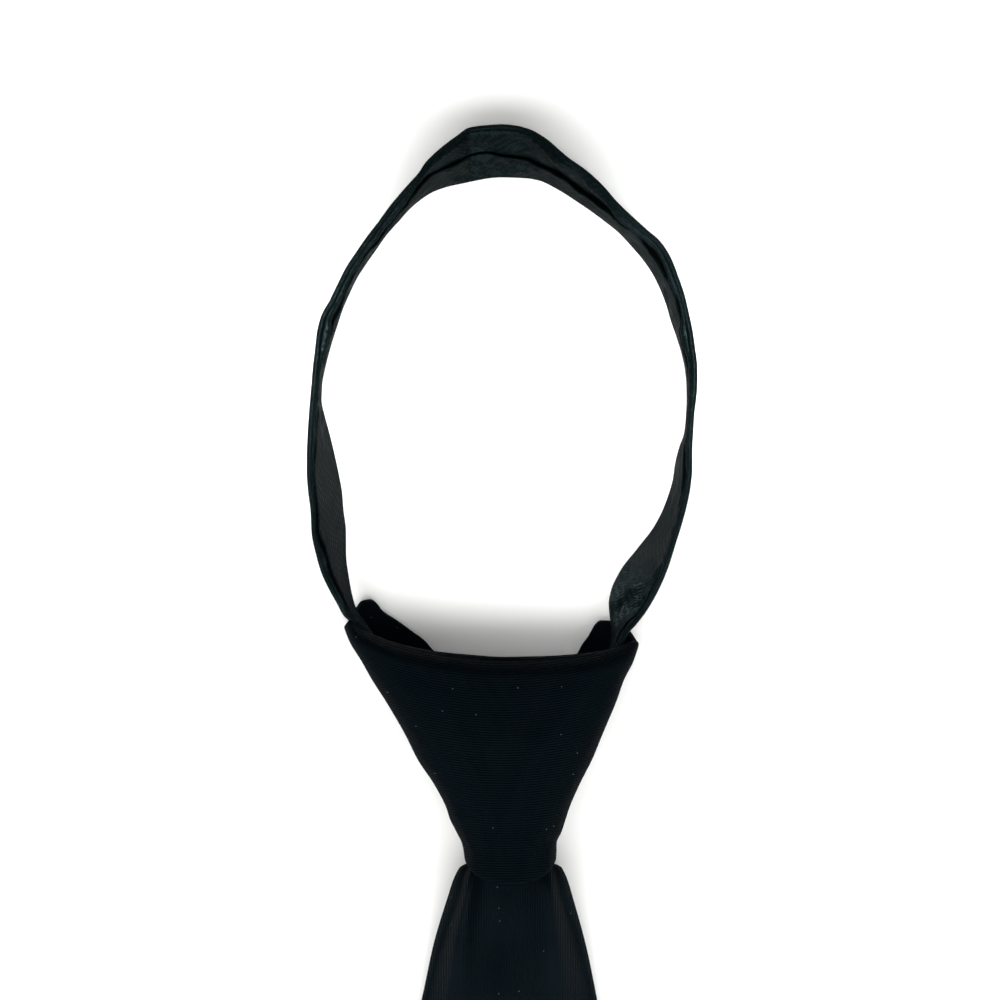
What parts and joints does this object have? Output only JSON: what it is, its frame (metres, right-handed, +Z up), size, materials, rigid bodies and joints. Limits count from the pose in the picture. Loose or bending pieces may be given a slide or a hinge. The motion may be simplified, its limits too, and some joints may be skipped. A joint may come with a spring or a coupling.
{
  "type": "zipper tie",
  "caption": "Black pre-tied necktie lying flat: folded cloth neck loop standing on edge, hollow tapered knot, long pointed blade and a closed zip behind it.",
  "frame": {"origin": "on the surface that the tie lies on, under the middle of its box", "axes": "+Z up from the surface, out of the tie's face; +Y along the tie towards the neck loop; +X to the right seen from the front"},
  "size_m": [0.0926, 0.6234, 0.0164],
  "materials": {
    "tie_cloth": "fine ribbed weave, near black",
    "band_lining": "diagonal twill lining with a soft sheen",
    "zip_tape": "woven tape",
    "zip_metal": "black lacquer"
  },
  "bodies": {
    "root": {"neck_band": "band_lining", "knot": "tie_cloth", "blade": "tie_cloth", "zipper_tail": "zip_tape", "zipper_slider": "zip_metal"}
  },
  "joints": []
}
